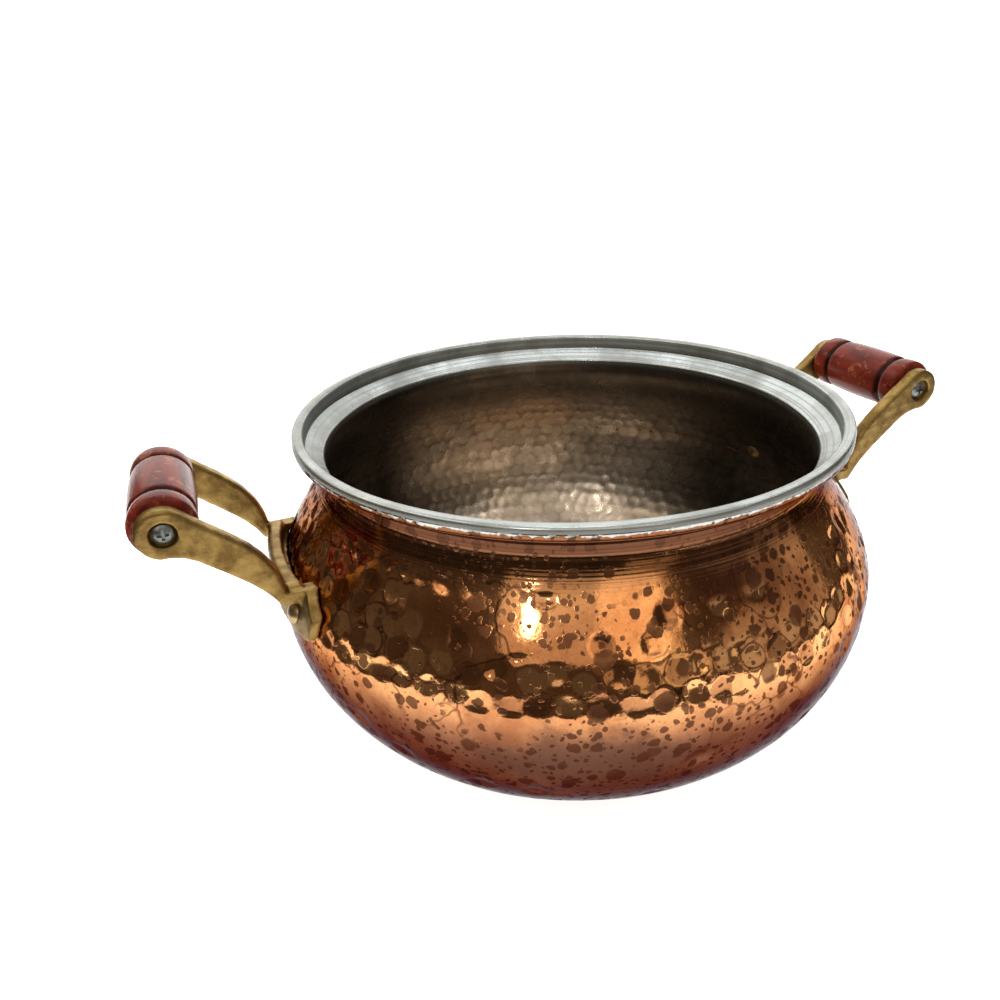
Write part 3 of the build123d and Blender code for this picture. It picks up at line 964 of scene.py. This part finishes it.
# Nearly black along the grooves.
red = lacquer.over(red, lacquer.step(from_groove, 0.0009, 0.0021, 0.9, 0.0), (0.012, 0.004, 0.004))
lacquer.finish(
    Base_Color=red,
    Roughness=0.24,
    Specular_IOR_Level=0.14,
    Normal=lacquer.bump(flakes, 0.00006, strength=-1.0),
)
lacquer.put_on(*grips)

# %% [markdown]
# ### Screws, rivets and wire
#
# The fastenings keep their CAD meshes, whose shape is right, and only get a finish.


# %% Small metal
def small_metal(name, grain_scale, light, deep, roughness, depth, words):
    """A plain metal with a fine grain, on every node with one of the words in its name."""
    metal = Recipe(name)
    grain = metal.noise(grain_scale, detail=4)
    metal.finish(
        Base_Color=metal.mix(metal.step(grain, 0.35, 0.7), light, deep),
        Metallic=1.0,
        Roughness=roughness,
        Normal=metal.bump(grain, depth),
    )
    metal.put_on(*[thing for node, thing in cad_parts.items() if any(word in node for word in words)])


small_metal("zinc_plate", 700, (0.25, 0.265, 0.26), (0.13, 0.14, 0.14), 0.38, 0.00004, ("screw", "wire"))
small_metal("rivet_metal", 350, (0.50, 0.36, 0.18), (0.22, 0.14, 0.07), 0.36, 0.0001, ("rivet",))

# %% [markdown]
# ## Backdrop, light and camera
#
# The pot stands on a white sweep: a flat floor that curves up behind it, of paper that glows a little by
# itself, so that it stays white. In front of the pot there is no backdrop, only a dim warm room, because
# polished copper shows the room more than its own colour. Directions are given as seen from the pot: an
# azimuth, 0 towards the camera and positive to the right, and a height angle.

# %% White sweep
view_turn = math.radians(24.94)
to_front = np.array([-math.sin(view_turn), -math.cos(view_turn), 0])
to_right = np.array([math.cos(view_turn), -math.sin(view_turn), 0])
bend_start, bend_radius, front_edge, top = 1.0, 0.5, -0.46, 2.2
half_left, half_right, widen_left, widen_right = 0.36, 0.50, 0.94, 0.66
bend = np.linspace(0, np.pi / 2, 24)
bend_end = bend_start + bend_radius
sweep_run = np.concatenate([[front_edge, 0.0], bend_start + bend_radius * np.sin(bend), [bend_end]])
sweep_rise = np.concatenate([[0.0, 0.0], bend_radius * (1 - np.cos(bend)), [top]])
sweep_left = np.clip(half_left + widen_left * sweep_run, half_left, None)
sweep_right = np.clip(half_right + widen_right * sweep_run, half_right, None)
sweep_side = np.stack([-sweep_left, 0 * sweep_run, sweep_right], axis=1)
sweep_points = (
    -to_front * sweep_run[:, None, None] + to_right * sweep_side[:, :, None] + up * sweep_rise[:, None, None]
)
sweep = mesh_from("sweep", sweep_points.reshape(-1, 3), grid_faces(len(sweep_run), 3, closed=False))
paper = Recipe("pale_paper")
paper.finish(
    Base_Color=paper.mix(paper.noise(3), (0.86,) * 3, (0.89,) * 3),
    Roughness=0.9,
    Emission_Color=(1, 1, 1),
    Emission_Strength=0.85,
)
paper.put_on(sweep)

# %% [markdown]
# A smooth shoulder mirrors only low directions: up to about 36 degrees in front, and 16 degrees at the far
# left. Only a dent tilts the metal enough to mirror what hangs above that. So a small strong window makes
# the one highlight in front, wide dim ones make the gold sheen, and the walls on the left hang high, where
# the dents catch them and the smooth copper between them stays dark.

# %% Room and windows
world = bpy.data.worlds.new("room")
bpy.context.scene.world = world
world.use_nodes = True
room = world.node_tree.nodes["Background"]
room.inputs["Color"].default_value = (1.0, 0.86, 0.72, 1)
room.inputs["Strength"].default_value = 0.10
bpy.context.scene.view_settings.view_transform = "Standard"
middle = 0.1 * up
behind = -to_front * 1.6 + 0.6 * up
white = (1, 1, 1)
amber = (1.0, 0.88, 0.7)

# name, aim, azimuth, height angle, distance, width, depth, radiance, tint
windows = [
    ("ceiling", middle, 180, 86, 1.4, 3.0, 2.6, 0.55, white),
    ("sweep_light", behind, 180, 68, 1.8, 3.0, 0.8, 2.0, white),
    ("window", middle, -15, 34, 2.0, 0.13, 0.24, 24.0, (1.0, 0.97, 0.9)),
    ("wide_window", middle, 6, 38, 2.4, 2.5, 1.5, 0.76, (1.0, 0.93, 0.82)),
    ("gold_window", middle, 27, 27, 2.3, 1.0, 0.7, 0.75, (1.0, 0.88, 0.62)),
    ("low_window", middle, 34, 9, 2.4, 0.9, 0.5, 0.65, (1.0, 0.9, 0.7)),
    ("left_wall", middle, -106, 37, 2.2, 1.3, 0.9, 1.5, amber),
    ("near_wall", middle, -64, 48, 2.2, 1.6, 0.9, 1.4, amber),
    ("right_fill", middle, 62, 46, 2.0, 0.6, 0.5, 2.6, (1.0, 0.95, 0.86)),
    ("lamp_above", middle, 0, 88, 1.3, 0.45, 0.45, 3.0, white),
    ("right_wall", middle, 76, 8, 2.2, 2.0, 1.0, 0.36, (1.0, 0.93, 0.85)),
]


def from_pot(azimuth, height_angle, reach):
    """The point at a distance from the pot's middle in a direction given by two angles in degrees."""
    turn, up_angle = math.radians(azimuth), math.radians(height_angle)
    level_way = to_front * math.cos(turn) + to_right * math.sin(turn)
    return (level_way * math.cos(up_angle) + up * math.sin(up_angle)) * reach + middle


for name, aim, azimuth, height_angle, reach, width, depth, radiance, tint in windows:
    place = from_pot(azimuth, height_angle, reach)
    lamp = bpy.data.lights.new(name, "AREA")
    lamp.shape = "RECTANGLE"
    lamp.size = width
    lamp.size_y = depth
    lamp.energy = radiance * width * depth * math.pi
    lamp.color = tint
    holder = bpy.data.objects.new(name, lamp)
    bpy.context.scene.collection.objects.link(holder)
    holder.location = place
    away = (place - aim) / np.linalg.norm(place - aim)
    side = np.cross(up, away)
    side /= np.linalg.norm(side)
    holder.rotation_euler = Matrix(np.stack([side, np.cross(away, side), away], axis=1).tolist()).to_euler()
    print("light", name, "power", round(lamp.energy, 2))

# %% [markdown]
# The camera was fitted to the photo: how far it stands from the middle of the mouth, how high, how it leans,
# and at which pixel the pot's axis meets the plane of the lip. It first looks straight at that point, then
# leans by roll, then swings until the point falls on its pixel, and at last goes round the pot with the view.

# %% Camera
picture = 1000.0
sensor = 36
focal_pixels = 807.04
distance = 364.64 * mm
elevation = math.radians(18.968)
roll = math.radians(-0.687)
axis_pixel = np.array([565.68, 401.75])
eye = distance * np.array([0, -math.cos(elevation), math.sin(elevation)])
forward = -eye / distance
right = np.array([1.0, 0, 0])
straight = np.stack([right, -np.cross(right, forward), forward])
ray = np.array([axis_pixel[0] - picture / 2, axis_pixel[1] - picture / 2, focal_pixels])
ray /= np.linalg.norm(ray)
swing_axis = np.cross(up, ray)
swing = math.asin(np.linalg.norm(swing_axis))
swung = np.array(Matrix.Rotation(swing, 3, swing_axis / np.linalg.norm(swing_axis)))
tilt = np.array([[math.cos(roll), -math.sin(roll), 0], [math.sin(roll), math.cos(roll), 0], [0, 0, 1]])
looks = swung @ tilt @ straight
round_pot = np.array([
    [math.cos(view_turn), math.sin(view_turn), 0],
    [-math.sin(view_turn), math.cos(view_turn), 0],
    [0, 0, 1],
])
camera_data = bpy.data.cameras.new("camera")
camera = bpy.data.objects.new("camera", camera_data)
bpy.context.scene.collection.objects.link(camera)
camera_data.sensor_width = sensor
camera_data.lens = focal_pixels / picture * sensor
camera_data.clip_start = 0.01
placed = np.eye(4)
placed[:3, :3] = round_pot @ np.stack([looks[0], -looks[1], -looks[2]], axis=1)
placed[:3, 3] = round_pot @ eye + pot_height * up
camera.matrix_world = Matrix(placed.tolist())
bpy.context.scene.camera = camera
print("camera at", placed[:3, 3].round(3).tolist())

# %% [markdown]
